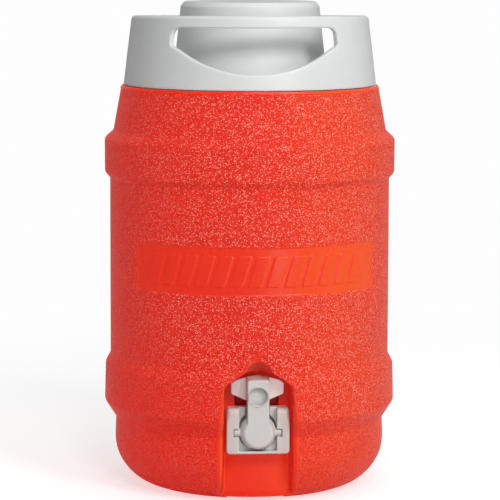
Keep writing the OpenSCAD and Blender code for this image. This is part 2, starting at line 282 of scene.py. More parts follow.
def turned_object(name, corners):
    """A closed outline of (radius, z, corner radius) turned about the Z axis."""
    profile = rounded(corners, 5)
    segments = 224
    angles = [2 * math.pi * i / segments for i in range(segments)]
    points = [(r * math.sin(a), -r * math.cos(a), z) for r, z in profile for a in angles]
    faces = []
    for k in range(len(profile)):
        ring, above = k * segments, (k + 1) % len(profile) * segments
        for i in range(segments):
            j = (i + 1) % segments
            faces.append((ring + i, ring + j, above + j, above + i))
    return face_object(name, points, faces, sharp_angle=32)


# ------------------------------------------------------------------ materials


class Nodes:
    """Node tree of a material or world, with short ways to add nodes."""

    def __init__(self, owner):
        owner.use_nodes = True
        self.owner, self.tree = owner, owner.node_tree
        self.object_coords = None

    def feed(self, socket, value):
        """Links an output to the socket, or sets its value."""
        if isinstance(value, bpy.types.NodeSocket):
            self.tree.links.new(value, socket)
        elif isinstance(value, tuple) and socket.type == "RGBA":
            socket.default_value = (*value, 1)
        else:
            socket.default_value = value

    def add(self, kind, inputs=None, **settings):
        node = self.tree.nodes.new("ShaderNode" + kind)
        for key, value in settings.items():
            setattr(node, key, value)
        for key, value in (inputs or {}).items():
            self.feed(node.inputs[key], value)
        return node

    def coords(self):
        if self.object_coords is None:
            self.object_coords = self.add("TexCoord").outputs["Object"]
        return self.object_coords

    def noise(self, scale, detail, roughness=0.5):
        return self.add("TexNoise", {"Scale": scale, "Detail": detail, "Roughness": roughness,
                                     "Vector": self.coords()}).outputs["Fac"]

    def voronoi(self, scale, coords=None):
        return self.add("TexVoronoi", {"Scale": scale, "Vector": coords or self.coords()})

    def ramp(self, factor, stops, interpolation="LINEAR"):
        """Grey ramp; stops are (position, brightness)."""
        node = self.add("ValToRGB", {"Fac": factor})
        ramp = node.color_ramp
        ramp.interpolation = interpolation
        while len(ramp.elements) < len(stops):
            ramp.elements.new(0.5)
        for element, (position, level) in zip(ramp.elements, stops):
            element.position = position
            element.color = (level, level, level, 1)
        return node.outputs["Color"]

    def math(self, operation, *values):
        return self.add("Math", dict(enumerate(values)), operation=operation).outputs[0]

    def times(self, a, b):
        return self.math("MULTIPLY", a, b)

    def plus(self, a, b):
        return self.math("ADD", a, b)

    def invert(self, a):
        return self.math("SUBTRACT", 1.0, a)

    def mix(self, factor, a, b, mode="MIX"):
        node = self.add("Mix", data_type="RGBA", blend_type=mode)
        # sockets 6 and 7 are the two colours, output 2 the colour result
        for socket, value in (("Factor", factor), (6, a), (7, b)):
            self.feed(node.inputs[socket], value)
        return node.outputs[2]

    def map_range(self, value, span, to=(0.0, 1.0), interpolation="SMOOTHSTEP"):
        return self.add("MapRange", {"Value": value, "From Min": span[0], "From Max": span[1],
                                     "To Min": to[0], "To Max": to[1]},
                        interpolation_type=interpolation).outputs["Result"]

    def bump(self, height, distance, strength=1.0, normal=None):
        inputs = {"Strength": strength, "Distance": distance, "Height": height}
        if normal is not None:
            inputs["Normal"] = normal
        return self.add("Bump", inputs).outputs["Normal"]

    def attribute(self, name):
        return self.add("Attribute", attribute_name=name).outputs["Fac"]

    def outer_edges(self, lo, hi):
        """1 on outer edges, for wear."""
        pointiness = self.add("NewGeometry").outputs["Pointiness"]
        return self.ramp(pointiness, [(lo, 0.0), (hi, 1.0)])

    def principled(self, **inputs):
        node = self.tree.nodes["Principled BSDF"]
        for key, value in inputs.items():
            self.feed(node.inputs[key.replace("_", " ")], value)
        return node


def new_material(name):
    return Nodes(bpy.data.materials.new(name))


def plastic(name, colour, cloud_colour, roughness, grain_scale, grain_depth,
            wear_colour, wear, subsurface=0.0):
    """Satin moulded plastic: faint cloudy colour, fine moulding grain, scuffed edges."""
    n = new_material(name)
    cloud = n.ramp(n.noise(scale=18, detail=4, roughness=0.6), [(0.35, 0.0), (0.68, 1.0)])
    base = n.mix(cloud, colour, cloud_colour)
    edges = n.outer_edges(0.53, 0.62)
    patches = n.ramp(n.noise(scale=140, detail=5, roughness=0.7), [(0.4, 0.0), (0.65, 1.0)])
    base = n.mix(n.times(edges, n.times(patches, wear)), base, wear_colour)
    dull = n.ramp(n.noise(scale=55, detail=6, roughness=0.65),
                  [(0.3, roughness[0]), (0.7, roughness[1])])
    fine = n.noise(scale=grain_scale, detail=2)
    broad = n.noise(scale=grain_scale / 12, detail=4, roughness=0.55)
    height = n.plus(n.times(fine, 0.7), n.times(broad, 0.9))
    n.principled(Base_Color=base, Roughness=dull, Normal=n.bump(height, grain_depth),
                 Specular_IOR_Level=0.45)
    if subsurface:
        n.principled(Subsurface_Weight=subsurface, Subsurface_Radius=(0.006, 0.005, 0.004),
                     Subsurface_Scale=0.5)
    return n


def shell_material():
    """Orange plastic, pebbled or polished."""
    n = new_material("grained_orange_plastic")
    mask = n.attribute("grain")              # 1 where the skin is pebbled, 0 where polished
    painted_shade = n.attribute("painted_shade")             # painted shade, towards 1 on the walls of the tap pocket
    normal = n.add("NewGeometry").outputs["Normal"]

    def facing(direction, span, to):
        dot = n.add("VectorMath", {0: normal, 1: direction}, operation="DOT_PRODUCT")
        return n.map_range(dot.outputs["Value"], span, to)

    # two sizes of pebble, on coordinates warped by noise
    warp = n.add("TexNoise", {"Scale": 420, "Detail": 2, "Vector": n.coords()})
    warped = n.add("VectorMath", {0: warp.outputs["Color"], 1: (0.0007, 0.0007, 0.0007),
                                  2: n.coords()}, operation="MULTIPLY_ADD").outputs[0]
    large = n.voronoi(960, warped).outputs["Distance"]
    small = n.voronoi(1700, warped).outputs["Distance"]
    pebbles = n.ramp(large, [(0.0, 1.0), (0.30, 0.86), (0.55, 0.25), (0.8, 0.0)], "EASE")
    grit = n.ramp(small, [(0.0, 1.0), (0.45, 0.7), (0.8, 0.0)], "EASE")
    patch = n.ramp(n.noise(scale=30, detail=3, roughness=0.6), [(0.3, 0.88), (0.7, 1.0)])
    height = n.times(n.plus(pebbles, n.times(grit, 0.45)), n.times(patch, mask))
    swell = n.times(n.noise(scale=26, detail=3), 0.6)
    relief = n.bump(height, distance=0.00046,
                    normal=n.bump(swell, distance=0.0003, strength=0.35))

    cloud = n.ramp(n.noise(scale=14, detail=4, roughness=0.6), [(0.3, 0.0), (0.7, 1.0)])
    colour = n.mix(cloud, (0.67, 0.024, 0.006), (0.63, 0.017, 0.005))
    # painted sheen: a lighter, warmer orange on the side towards +X, where the key light falls
    colour = n.mix(facing((1, 0, 0), span=(-0.15, 0.75), to=(0.0, 1.0)), colour,
                   (0.73, 0.075, 0.014))
    # painted shade: darker colour in the gaps between the pebbles
    gap = n.ramp(large, [(0.34, 0.0), (0.62, 1.0)], "EASE")
    colour = n.mix(n.times(n.times(gap, mask), 0.66), colour, (0.47, 0.004, 0.002))
    # pale scuffs on outer edges
    scuff = n.times(n.outer_edges(0.51, 0.58),
                    n.ramp(n.noise(scale=90, detail=6, roughness=0.7),
                           [(0.45, 0.0), (0.7, 0.16)]))
    colour = n.mix(scuff, colour, (0.77, 0.11, 0.05))

    # painted glints: pale dots on some pebble cells, stronger on the side facing the lamps and
    # higher up
    cells = n.voronoi(940, warped)
    random = n.add("SeparateColor", {0: cells.outputs["Color"]}).outputs[0]
    pick = n.ramp(random, [(0.30, 0.0), (0.62, 0.8), (1.0, 1.0)])
    dot = n.ramp(cells.outputs["Distance"], [(0.26, 1.0), (0.46, 0.0)], "EASE")
    lit = facing((0.6, -0.75, 0.3), span=(-0.45, 0.5), to=(0.42, 1.0))
    place = n.add("SeparateXYZ", {0: n.coords()}).outputs
    slant = n.plus(place[2], n.times(place[0], 0.3))
    high = n.ramp(n.times(slant, 5.0), [(0.27, 0.4), (0.50, 1.0)])
    painted_glints = n.times(n.times(dot, pick), n.times(n.times(mask, lit), high))
    colour = n.mix(painted_glints, colour, (0.86, 0.45, 0.34))

    # polished skin is a little redder-poor, the pocket walls get painted shade in deep red
    colour = n.mix(n.invert(mask), colour,
                   n.mix(1.0, colour, (0.80, 1.12, 1.0), "MULTIPLY"))
    colour = n.mix(n.times(painted_shade, 0.8), colour, (0.34, 0.003, 0.010))
    rough = n.ramp(n.noise(scale=60, detail=5, roughness=0.6), [(0.3, 0.24), (0.7, 0.36)])
    rough = n.mix(mask, n.mix(1.0, rough, (0.85, 0.85, 0.85), "MULTIPLY"), rough)
    n.principled(Base_Color=colour, Roughness=rough, Normal=relief, Specular_IOR_Level=0.27,
                 Subsurface_Weight=0.10, Subsurface_Radius=(0.004, 0.0012, 0.0006),
                 Subsurface_Scale=0.6)

    # painted glow: the orange gives out light in its own colour for its day-glow look, lifting
    # the shaded side towards -X and the base, less in the pebble gaps and in the pocket
    painted_glow = n.times(n.invert(n.times(gap, n.times(mask, 0.30))),
                   n.invert(n.times(painted_shade, 0.72)))
    # more painted glow near the base
    low = n.ramp(n.times(place[2], 4.0), [(0.0, 1.0), (0.5, 0.0)])
    strength = n.plus(facing((-1, 0, 0), span=(0.0, 0.9), to=(0.33, 0.39)), n.times(low, 0.05))
    n.principled(Emission_Color=(1.0, 0.026, 0.012), Emission_Strength=n.times(painted_glow, strength))
    return n


def foam_material():
    n = new_material("cellular_foam")
    cells = n.voronoi(1400).outputs["Distance"]
    cloud = n.ramp(n.noise(scale=40, detail=5, roughness=0.7), [(0.3, 0.0), (0.7, 1.0)])
    colour = n.mix(cloud, (0.80, 0.68, 0.38), (0.72, 0.58, 0.28))
    colour = n.mix(n.ramp(cells, [(0.2, 0.0), (0.8, 0.5)]), colour, (0.5, 0.38, 0.16))
    n.principled(Base_Color=colour, Roughness=0.9, Normal=n.bump(cells, distance=0.0004))
    return n


def tap_material():
    """White plastic, with a painted pink reflection of the orange round it at the sides."""
    n = plastic("white_tap_plastic", colour=(0.64, 0.622, 0.60),
                cloud_colour=(0.61, 0.595, 0.57), roughness=(0.30, 0.44), grain_scale=1300,
                grain_depth=0.00002, wear_colour=(0.9, 0.88, 0.85), wear=0.3, subsurface=0.2)
    place = n.add("SeparateXYZ", {0: n.add("TexCoord").outputs["Object"]}).outputs
    off_centre = n.math("ABSOLUTE", place[0])
    # painted reflection: pink tint from the orange round the tap, at its sides
    side = n.map_range(off_centre, span=(0.0125, 0.0185))
    white = n.principled().inputs["Base Color"].links[0].from_socket
    # painted light: a faint glow on the spout's wings, stronger towards +X
    wing_painted_glow = n.times(n.map_range(place[2], span=(0.0725, 0.0745)),
                   n.map_range(off_centre, span=(0.0078, 0.0092)))
    strength = n.map_range(place[0], span=(-0.016, 0.012), to=(0.10, 0.30),
                           interpolation="LINEAR")
    n.principled(Base_Color=n.mix(side, white, (0.99, 0.87, 0.86), "MULTIPLY"),
                 Emission_Strength=n.times(wing_painted_glow, strength), Emission_Color=(1.0, 0.80, 0.80))
    return n


MATERIALS = {
    "shell": shell_material(),
    "lid": plastic("satin_grey_plastic", colour=(0.70, 0.72, 0.71),
                   cloud_colour=(0.66, 0.68, 0.67), roughness=(0.30, 0.42), grain_scale=1100,
                   grain_depth=0.00003, wear_colour=(0.86, 0.86, 0.84), wear=0.3,
                   subsurface=0.15),
    "liner": plastic("white_liner_plastic", colour=(0.84, 0.84, 0.81),
                     cloud_colour=(0.80, 0.80, 0.77), roughness=(0.25, 0.38), grain_scale=900,
                     grain_depth=0.00003, wear_colour=(0.9, 0.9, 0.88), wear=0.1,
                     subsurface=0.2),
    "gasket": plastic("silicone_gasket", colour=(0.72, 0.73, 0.71),
                      cloud_colour=(0.66, 0.67, 0.66), roughness=(0.5, 0.65), grain_scale=700,
                      grain_depth=0.00003, wear_colour=(0.8, 0.8, 0.8), wear=0.1,
                      subsurface=0.2),
    "rubber": plastic("black_rubber", colour=(0.035, 0.035, 0.036),
                      cloud_colour=(0.05, 0.05, 0.05), roughness=(0.6, 0.8), grain_scale=700,
                      grain_depth=0.00005, wear_colour=(0.12, 0.12, 0.12), wear=0.4),
    "plug": plastic("orange_plug_plastic", colour=(0.80, 0.05, 0.012),
                    cloud_colour=(0.72, 0.035, 0.01), roughness=(0.35, 0.5), grain_scale=900,
                    grain_depth=0.00005, wear_colour=(0.9, 0.3, 0.2), wear=0.3),
    "foam": foam_material(),
    "tap": tap_material(),
}
MATERIALS = {key: nodes.owner for key, nodes in MATERIALS.items()}


def dress(obj, material, body, node):
    """Gives a piece its material and tells the frame what it rides on and replaces."""
    obj.data.materials.clear()
    obj.data.materials.append(MATERIALS[material])
    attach(obj, body)
    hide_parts(node)


# ------------------------------------------------------------------ outer shell
# radius, z, corner radius: from the base, up the outside, to the rim
SHELL_OUTLINE = [
    (20.0, 0.0, 0), (80.6, 0.0, 31.3), (99.7, 21.7, 40), (98.65, 48.8, 2.0),
    (106.9, 61.8, 5), (106.2, 88.9, 4.5), (102.6, 95.7, 1.8), (102.45, 225.5, 1.8),
    (106.2, 229.9, 4.5), (106.35, 254.5, 4.5), (99.9, 260.3, 2.6), (93.9, 293.1, 0.7),
    (92.6, 293.1, 0.2), (92.5, 291.5, 0)]
# radius, z: the underside, from the recessed base panel out over the foot
FOOT_ROWS = [(57.2, 2.45), (58.2, 2.1), (58.9, 1.1), (59.5, 0.3), (60.3, 0.0), (62.3, 0.0),
             (64.4, 0.0)]
# above z, below z, row spacing: the first band that fits is used
ROW_SPACING = [(-1, 6, 0.45), (34, 39.5, 0.5), (82, 108, 0.55),
               (BADGE_LOW - 3, BADGE_TOP + 3, 0.5), (-1, 110, 1.2), (-1, 300, 2.4)]
# from x, to x, column spacing, near the pocket
COLUMN_SPACING = [(0, 15, 0.55), (15, 16.4, 0.28), (16.4, 21.6, 0.6), (21.6, 29.2, 0.38)]
POCKET_SIDE = 30.0                           # columns are straight out to this x
AROUND_START = math.radians(26.5)            # columns are radial from this angle
FINE_END = math.radians(58)
PORT_X, PORT_R, PORT_SIDES = 45, 8, 40       # two round holes in the base
BASE_Z, BASE_INNER_Z = FOOT_ROWS[0][1], 5.5
SKIN = 3.0                                   # wall thickness


def resample(points):
    """Adds points on long runs, as close as the row spacing asks."""
    out = [points[0]]
    for (r0, z0), (r1, z1) in zip(points[:-1], points[1:]):
        length = math.hypot(r1 - r0, z1 - z0)
        t = 0.0
        while t < 1 - 1e-9:
            z = z0 + (z1 - z0) * t
            step = COARSE * next(s for low, high, s in ROW_SPACING if low < z < high)
            t = min(1.0, t + step / length)
            if (1 - t) * length < 0.35 * step:
                t = 1.0
            out.append((r0 + (r1 - r0) * t, z0 + (z1 - z0) * t))
    return out


def shell_columns():
    """Kind and value of each column: x near the pocket, angle elsewhere, share between."""
    across = [29.2, POCKET_SIDE]
    for start, end, step in COLUMN_SPACING:
        across += list(np.arange(start, end - 1e-9, step * COARSE))
    across = sorted({sign * x for x in across for sign in (-1, 1)})
    share = list(np.linspace(0, 1, 30)[1:-1])
    fine = list(np.arange(AROUND_START, FINE_END, math.radians(0.32 * COARSE)))
    fine += [BADGE_ANGLE + math.radians(d) for d in (-0.5, -0.3, -0.15, 0.0, 0.15, 0.3, 0.5)]
    around = sorted({round(a, 6) for a in fine})
    around += list(np.linspace(FINE_END, math.pi, int(82 / COARSE) + 1)[1:])
    runs = [("across", across), ("share", share), ("around", around),
            ("around", [-a for a in reversed(around[:-1])]),
            ("share", [-s for s in reversed(share)])]
    kinds = np.array([kind for kind, run in runs for _ in run])
    return kinds, np.concatenate([run for _, run in runs])


def skin_grid(rows, kinds, values):
    """Points of the outer skin before the badge and the pocket: rows, columns, xyz."""
    grid = np.zeros((len(rows), len(values), 3))
    for j, (radius, z) in enumerate(rows):
        scale = min(1.0, radius / POCKET_R)
        side = POCKET_SIDE * scale
        gap = radius * math.sin(AROUND_START) - side
        x = np.where(kinds == "share", np.sign(values) * (side + gap * np.abs(values)),
                     values * scale)
        angle = np.where(kinds == "around", values, np.arcsin(x / radius))
        grid[j] = np.stack([radius * np.sin(angle), -radius * np.cos(angle),
                            np.full_like(angle, z)], 1)
    return grid


def badge_relief(u, z):
    """Row of slanted flat-topped bars, 0..1; u is the distance round the barrel."""
    middle = (BADGE_LOW + BADGE_TOP) / 2
    pitch, half_width, half_height, corner = 13.0, 4.5, 10.9, 1.3
    slant = math.radians(17)
    lean = u - math.tan(slant) * (z - middle)
    nearest = np.clip(np.round(lean / pitch), -6, 6) * pitch
    dx = np.abs(lean - nearest) * math.cos(slant) - half_width + corner
    dz = np.abs(z - middle) - half_height + corner
    d = (np.hypot(np.maximum(dx, 0), np.maximum(dz, 0))
         + np.minimum(np.maximum(dx, dz), 0) - corner)
    return ease(0.5 - d / 0.6)


def press_badge(grid):
    """Sinks the badge panels, leaves their bars standing, and returns the skin's grain."""
    panel_depth, bar_height, corner = 0.60, 0.80, 2.0
    x, y, z = np.moveaxis(grid, 2, 0)
    u = BARREL_R * np.arctan2(x, -y)
    side = BARREL_R * BADGE_ANGLE - np.abs(u)
    top = np.minimum(z - BADGE_LOW, BADGE_TOP - z)
    at_corner = corner - np.sqrt(np.maximum(corner - side, 0) ** 2
                                 + np.maximum(corner - top, 0) ** 2)
    inside = np.where((side > corner) | (top > corner), np.minimum(side, top), at_corner)
    sink = ease(inside / 0.9 + 0.5)
    depth = panel_depth * sink - bar_height * badge_relief(u, z) * sink
    radius = np.hypot(x, y)
    near = (z > BADGE_LOW - 4) & (z < BADGE_TOP + 4)
    grid[:, :, :2] *= np.where(near, (radius - depth) / radius, 1.0)[:, :, None]
    return np.where(near, 1 - np.clip(inside + 1.0, 0, 1), 1.0)


def tap_pocket(x, y, z):
    """Distance to the pocket: a tapered hollow, a slot above it and a finger scoop."""
    back_y, draft = -80.0, math.radians(4.5)
    widening = 0.9 * fade(z, 72, 6)
    crown = 0.55 * np.clip(20 - np.abs(x), 0, 10)
    outline = round_box((np.maximum(np.abs(x) - widening, 0), z - crown),
                        centre=(0, 18.5), half=(22.8, 70.0), radius=6.0)
    wall = (outline - (back_y - y) * math.tan(draft)) * math.cos(draft)
    # the back is flat above the step and follows a cylinder below it
    flat = fade(z, 36.2, 37.0)
    back = back_y * flat - np.sqrt(np.maximum(POCKET_R ** 2 - x * x, 1)) * (1 - flat)
    pocket = meet(wall, y - back, 1.4)
    slot = round_box((x, y, z), centre=(0, -85, 80.5), half=(15.6, 10.5, 14.5), radius=0.8)
    pocket = fuse(pocket, slot, 0.6)
    # the scoop is a round trough that runs down and inwards
    slope, scoop_y, scoop_z, scoop_r = math.radians(34), -104.6, 93.3, 10.4
    across = (z - scoop_z) * math.cos(slope) + (y - scoop_y) * math.sin(slope)
    scoop = meet(np.sqrt(x * x + across * across) - scoop_r, y + 89.0, 1.0)
    return fuse(pocket, scoop, 1.6)


def cut_pocket(grid, kinds, profile):
    """Moves the pocket's points back along Y; returns how far, and the starting distances."""
    body = DistanceTable([(0.0, 0.0)] + profile + [(0.0, 292.0)], (36, -4), (112, 122), 0.2)

    def carved(x, y, z):
        edge = (0.6 + 3.7 * fade(z, 80, 58)) * np.clip((z + 0.5) / 6, 0.35, 1)
        return meet(body(np.hypot(x, y), z), -tap_pocket(x, y, z), edge)

    area = ((kinds[None, :] == "across") & (grid[:, :, 2] > 0.02) & (grid[:, :, 2] < 118)
            & (grid[:, :, 1] < 0))
    x, y_before, z = grid[area].T
    # march to the first solid point, then bisect
    clear, solid = np.full(x.shape, -114.0), np.full(x.shape, -70.0)
    found = np.zeros(x.shape, bool)
    for y in np.linspace(-114, -70, 177):
        hit = carved(x, np.full(x.shape, y), z) < 0
        solid[hit & ~found] = y
        found |= hit
        clear[~found] = y
    for _ in range(22):
        middle = (clear + solid) / 2
        hit = carved(x, middle, z) < 0
        solid, clear = np.where(hit, middle, solid), np.where(hit, clear, middle)
    y = np.maximum((clear + solid) / 2, y_before)
    # shallow round recess that leaves room for the back of the ball
    y = y + 1.1 * fade(np.hypot(x, z - PIVOT_Z), 8.6, 6.4)
    grid[area, 1] = y
    moved, gap = np.zeros(area.shape), np.full(area.shape, 1e3)
    moved[area] = y - y_before
    gap[area] = tap_pocket(x, y_before, z)
    return moved, gap


def lift_foot(grid, rows, kinds, values):
    """Ends the foot ring short of the pocket, whose lower edge hangs clear of the floor."""
    edge_z, edge_r = 4.3, 1.1
    last = next(j for j, (radius, z) in enumerate(rows) if z > edge_z and radius > 70)
    flat_end, flat_z = POCKET_R - edge_r, edge_z - edge_r
    path = [FOOT_ROWS[0], (58.2, 3.1)]
    path += [(59.0 + (flat_end - 59.0) * i / 16, flat_z) for i in range(17)]
    path += [(flat_end + edge_r * math.sin(a), edge_z - edge_r * math.cos(a))
             for a in np.linspace(0, math.pi / 2, 9)[1:]]
    path = np.array(path)
    run = np.concatenate([[0], np.cumsum(np.hypot(*np.diff(path, axis=0).T))])
    stations = np.linspace(0, run[-1], last + 1)
    radius, z = [np.interp(stations, run, path[:, k]) for k in (0, 1)]
    for i in np.flatnonzero((kinds == "across") & (np.abs(values) < 24.1)):
        x = values[i] * np.minimum(radius / POCKET_R, 1)
        target = np.stack([x, -np.sqrt(radius ** 2 - x ** 2), z], 1)
        weight = ease(fade(abs(values[i]), 24.1, 22.9))
        grid[:last + 1, i] = grid[:last + 1, i] * (1 - weight) + target * weight


def polish(grid, grain, gap):
    """Grain with the pocket, a margin round it, the underside and the rim left smooth."""
    x, y, z = np.moveaxis(grid, 2, 0)
    front = (z < 118) & (y < -60)
    distance = np.where(front, np.minimum(tap_pocket(x, y, z), gap), 1e3)
    margin = fade(z, 84, 62) * 3.6 + 0.5
    grain = np.minimum(grain, np.clip((distance - margin) / 0.8, 0, 1))
    return np.where(z < 2.0, 0.0, grain) * fade(z, 290.6, 289.6)


def pocket_shade(grid, normals, moved):
    """How much painted shade each pocket point gets: side walls, upper back and the slot's back.
    """
    x, y, z = np.moveaxis(grid, 2, 0)
    wall = fade(-normals[:, :, 1], 0.80, 0.50)
    wall = wall * np.where(z > 84, 0.5, np.where(x > 0, 0.6, 0.7))
    wall = np.where(z > 92, np.maximum(wall, 0.62), wall)
    back = fade(z, 67, 74) * 0.75 * 0.8
    deep = fade(y, -79.6, -78.6) * (z > 60) * fade(z, 87, 84) * 1.25
    return fade(moved, 0.25, 0.75) * np.maximum(np.maximum(wall, back), deep)


def inner_skin(grid, normals, rows, columns):
    """The outer skin pushed in along its normals, on a coarser grid."""
    # smoother normals keep the offset from folding at tight corners
    for _ in range(2):
        normals[1:-1] = normals[1:-1] * 0.5 + 0.25 * (normals[:-2] + normals[2:])
        normals = normals * 0.5 + 0.25 * (np.roll(normals, 1, 1) + np.roll(normals, -1, 1))
    normals /= np.linalg.norm(normals, axis=2)[:, :, None]
    pick = np.ix_(rows, columns)
    skin = grid[pick] - SKIN * normals[pick]
    skin[:, :, 2] = np.maximum(skin[:, :, 2], BASE_INNER_Z)
    # row, share of the outer radius, z: the first row and the rim
    for row, share, z in ((0, 1.02, BASE_INNER_Z), (-1, 91.0 / 92.5, 291.45)):
        skin[row, :, :2] = grid[row, columns, :2] * share
        skin[row, :, 2] = z
    return skin


def close_base(bm, outer_loop, inner_loop):
    """Fills the base's two discs round their port holes and lines the holes."""
    ports = []
    for z, loop in ((BASE_Z, outer_loop), (BASE_INNER_Z, inner_loop)):
        edges = [bm.edges.get((loop[k - 1], loop[k])) for k in range(1, len(loop))]
        edges.append(bm.edges.get((loop[-1], loop[0])))
        for port_x in (-PORT_X, PORT_X):
            angles = [2 * math.pi * k / PORT_SIDES for k in range(PORT_SIDES)]
            ring = [bm.verts.new((port_x + PORT_R * math.cos(a), PORT_R * math.sin(a), z))
                    for a in angles]
            ports.append(ring)
            edges += [bm.edges.new((ring[k], ring[(k + 1) % PORT_SIDES]))
                      for k in range(PORT_SIDES)]
        bmesh.ops.triangle_fill(bm, use_beauty=True, use_dissolve=False, edges=edges)
    for low, high in (ports[0::2], ports[1::2]):
        for k in range(PORT_SIDES):
            j = (k + 1) % PORT_SIDES
            bm.faces.new((low[k], low[j], high[j], high[k]))


def build_shell():
    profile = [(r, max(z, 0.0)) for r, z in rounded(SHELL_OUTLINE, 10) if r > 66.0]
    rows = FOOT_ROWS + resample(profile)
    kinds, values = shell_columns()
    row_count, column_count = len(rows), len(values)
    outer_count = row_count * column_count
    grid = skin_grid(rows, kinds, values)
    grain = press_badge(grid)
    moved, gap = cut_pocket(grid, kinds, profile)
    lift_foot(grid, rows, kinds, values)
    grain = polish(grid, grain, gap)

    def outer(j, i):
        return j * column_count + i % column_count

    faces = [(outer(j, i), outer(j, i + 1), outer(j + 1, i + 1), outer(j + 1, i))
             for j in range(row_count - 1) for i in range(column_count)]
    points = list(map(tuple, grid.reshape(-1, 3)))
    mesh = bpy.data.meshes.new("tmp")
    mesh.from_pydata(points, [], faces)
    mesh.update()
    normals = np.array([v.normal[:] for v in mesh.vertices]).reshape(grid.shape)
    bpy.data.meshes.remove(mesh)
    # painted shade for the tap pocket, kept as a point attribute
    painted_shade = pocket_shade(grid, normals, moved)

    inner_rows = [0] + list(range(8, row_count - 4, 4)) + [row_count - 1]
    inner_columns = list(range(0, column_count, 3))
    skin = inner_skin(grid, normals, inner_rows, inner_columns)
    points += list(map(tuple, skin.reshape(-1, 3)))
    across, top = len(inner_columns), len(inner_rows) - 1

    def inner(a, b):
        return outer_count + a * across + b % across

    faces += [(inner(a, b), inner(a + 1, b), inner(a + 1, b + 1), inner(a, b + 1))
              for a in range(top) for b in range(across)]
    # close the rim between the skins
    rim = row_count - 1
    for b, start in enumerate(inner_columns):
        here, ahead = inner(top, b), inner(top, b + 1)
        faces.append((outer(rim, start), outer(rim, start + 1), here))
        for i in range(start + 1, min(start + 3, column_count)):
            faces.append((outer(rim, i), outer(rim, i + 1), ahead))
        faces.append((outer(rim, start + 1), ahead, here))

    bm = bmesh.new()
    verts = [bm.verts.new(p) for p in points]
    for face in faces:
        bm.faces.new([verts[k] for k in face])
    close_base(bm, verts[:column_count], verts[outer_count:outer_count + across])
    face_outwards(bm, sharp_angle=50)
    for face in bm.faces:
        face.smooth = True
    for v in bm.verts:
        v.co *= MM
    mesh = bpy.data.meshes.new("outer_shell_skin")
    bm.to_mesh(mesh)
    bm.free()
    # point attributes: the pebble grain mask and the pocket's painted shade
    for name, weights in (("grain", grain), ("painted_shade", painted_shade)):
        full = np.zeros(len(mesh.vertices), np.float32)
        full[:outer_count] = weights.reshape(-1)
        mesh.attributes.new(name, "FLOAT", "POINT").data.foreach_set("value", full)
    obj = bpy.data.objects.new("barrel_shell", mesh)
    bpy.context.scene.collection.objects.link(obj)
    return obj


dress(build_shell(), "shell", "keg_body", "outer_shell")

# ------------------------------------------------------------------ lid top
LID_TURN = math.radians(-1.1)
LID_WALL, LID_FLOOR, LID_UNDER = 4.5, 299.55, 297.2
LID_BOTTOM, LID_RING_TOP, LID_TOP = 293.4, 345.5, 353.95
WINDOW_R, WINDOW_LOW = 89.5, 304.4           # radius the windows are laid out on; lowest z


def ring_radius(z):
    """Outside of the lid's tapered ring."""
    return 92.2 - (z - 294.8) * 5.4 / 46.2


def column_radius(z):
    """Outside of the lid's tapered centre column."""
    return 51.0 + (347.0 - z) * 0.11


def window_table(half_width, top, drop):
    """Window with a sagging lower edge, laid flat as (distance round, z)."""
    radius = ((half_width - 4) ** 2 + drop * drop) / (2 * drop)
    corners = []
    for i in range(-16, 17):
        x = (half_width - 5.5) * i / 16
        corners.append((x, WINDOW_LOW + radius - math.sqrt(radius * radius - x * x), 0))
    # inset from the half width, z, corner radius, up the right side
    side = [(1.2, WINDOW_LOW + drop + 1.0, 6), (0, top - 12, 12), (0.4, top, 9.5)]
    corners += [(half_width - inset, z, r) for inset, z, r in side]
    corners += [(inset - half_width, z, r) for inset, z, r in reversed(side)]
    outline = [(WINDOW_R * math.asin(x / WINDOW_R), z) for x, z in rounded(corners, 8)]
    return DistanceTable(outline, (-100, 290), (100, 350), 0.25)


def build_lid():
    ring_top = ring_radius(LID_RING_TOP)
    # radius, z, corner radius: up the ring, down inside it, over the column, back below
    section = [
        (87.2, LID_BOTTOM, 0.5), (92.3, LID_BOTTOM, 0.9), (ring_top, LID_RING_TOP, 4.2),
        (ring_top - LID_WALL - 1.2, LID_RING_TOP, 1.8),
        (ring_radius(340) - LID_WALL, 339.5, 3.0), (ring_radius(302) - LID_WALL, LID_FLOOR, 1.2),
        (column_radius(LID_FLOOR), LID_FLOOR, 3.0), (column_radius(350.6), 350.6, 1.2),
        (47.8, LID_TOP, 1.6), (0, LID_TOP, 0), (0, 351, 0), (46.5, 351, 1.5),
        (column_radius(348) - 3, 348.0, 2), (column_radius(297) - 3, LID_UNDER, 0.5),
        (87.2, LID_UNDER, 0.5)]
    body = DistanceTable(rounded(section, 8), (0, 288), (97, 360), 0.2)
    front_window = window_table(half_width=60.0, top=336.8, drop=18)
    back_window = window_table(half_width=69.5, top=334.0, drop=9)

    def field(x, y, z):
        radius = np.hypot(x, y)
        # the top of the ring slopes down towards +Y
        upper = fade(z, 316, 336) * fade(radius, 60, 68)
        d = body(radius, z + upper * (86 + np.maximum(y, -86)) * math.tan(math.radians(1.3)))
        front = np.arctan2(x, -y) - LID_TURN
        front = (front + math.pi) % (2 * math.pi) - math.pi
        back = (front + 2 * math.pi) % (2 * math.pi) - math.pi
        windows = np.minimum(front_window(WINDOW_R * front, z), back_window(WINDOW_R * back, z))
        return meet(d, -np.maximum(windows, 72 - radius), 1.35)

    return field_object("lid_top", field, lo=(-93.5, -93.5, 292.3), hi=(93.5, 93.5, 355.5),
                        step=0.85)


dress(build_lid(), "lid", "lid", "lid_shell")

# ------------------------------------------------------------------ spout
# x, z above the pivot, corner radius: the wings, seen from the front
WING_OUTLINE = [(8.5, 22, 0.5), (18.6, 26.6, 1.6), (18.6, 34.2, 1.6), (15.5, 36.2, 3),
                (0, 40.1, 2.5), (-15.5, 36.2, 3), (-18.6, 34.2, 1.6), (-18.6, 26.6, 1.6),
                (-8.5, 22, 0.5)]


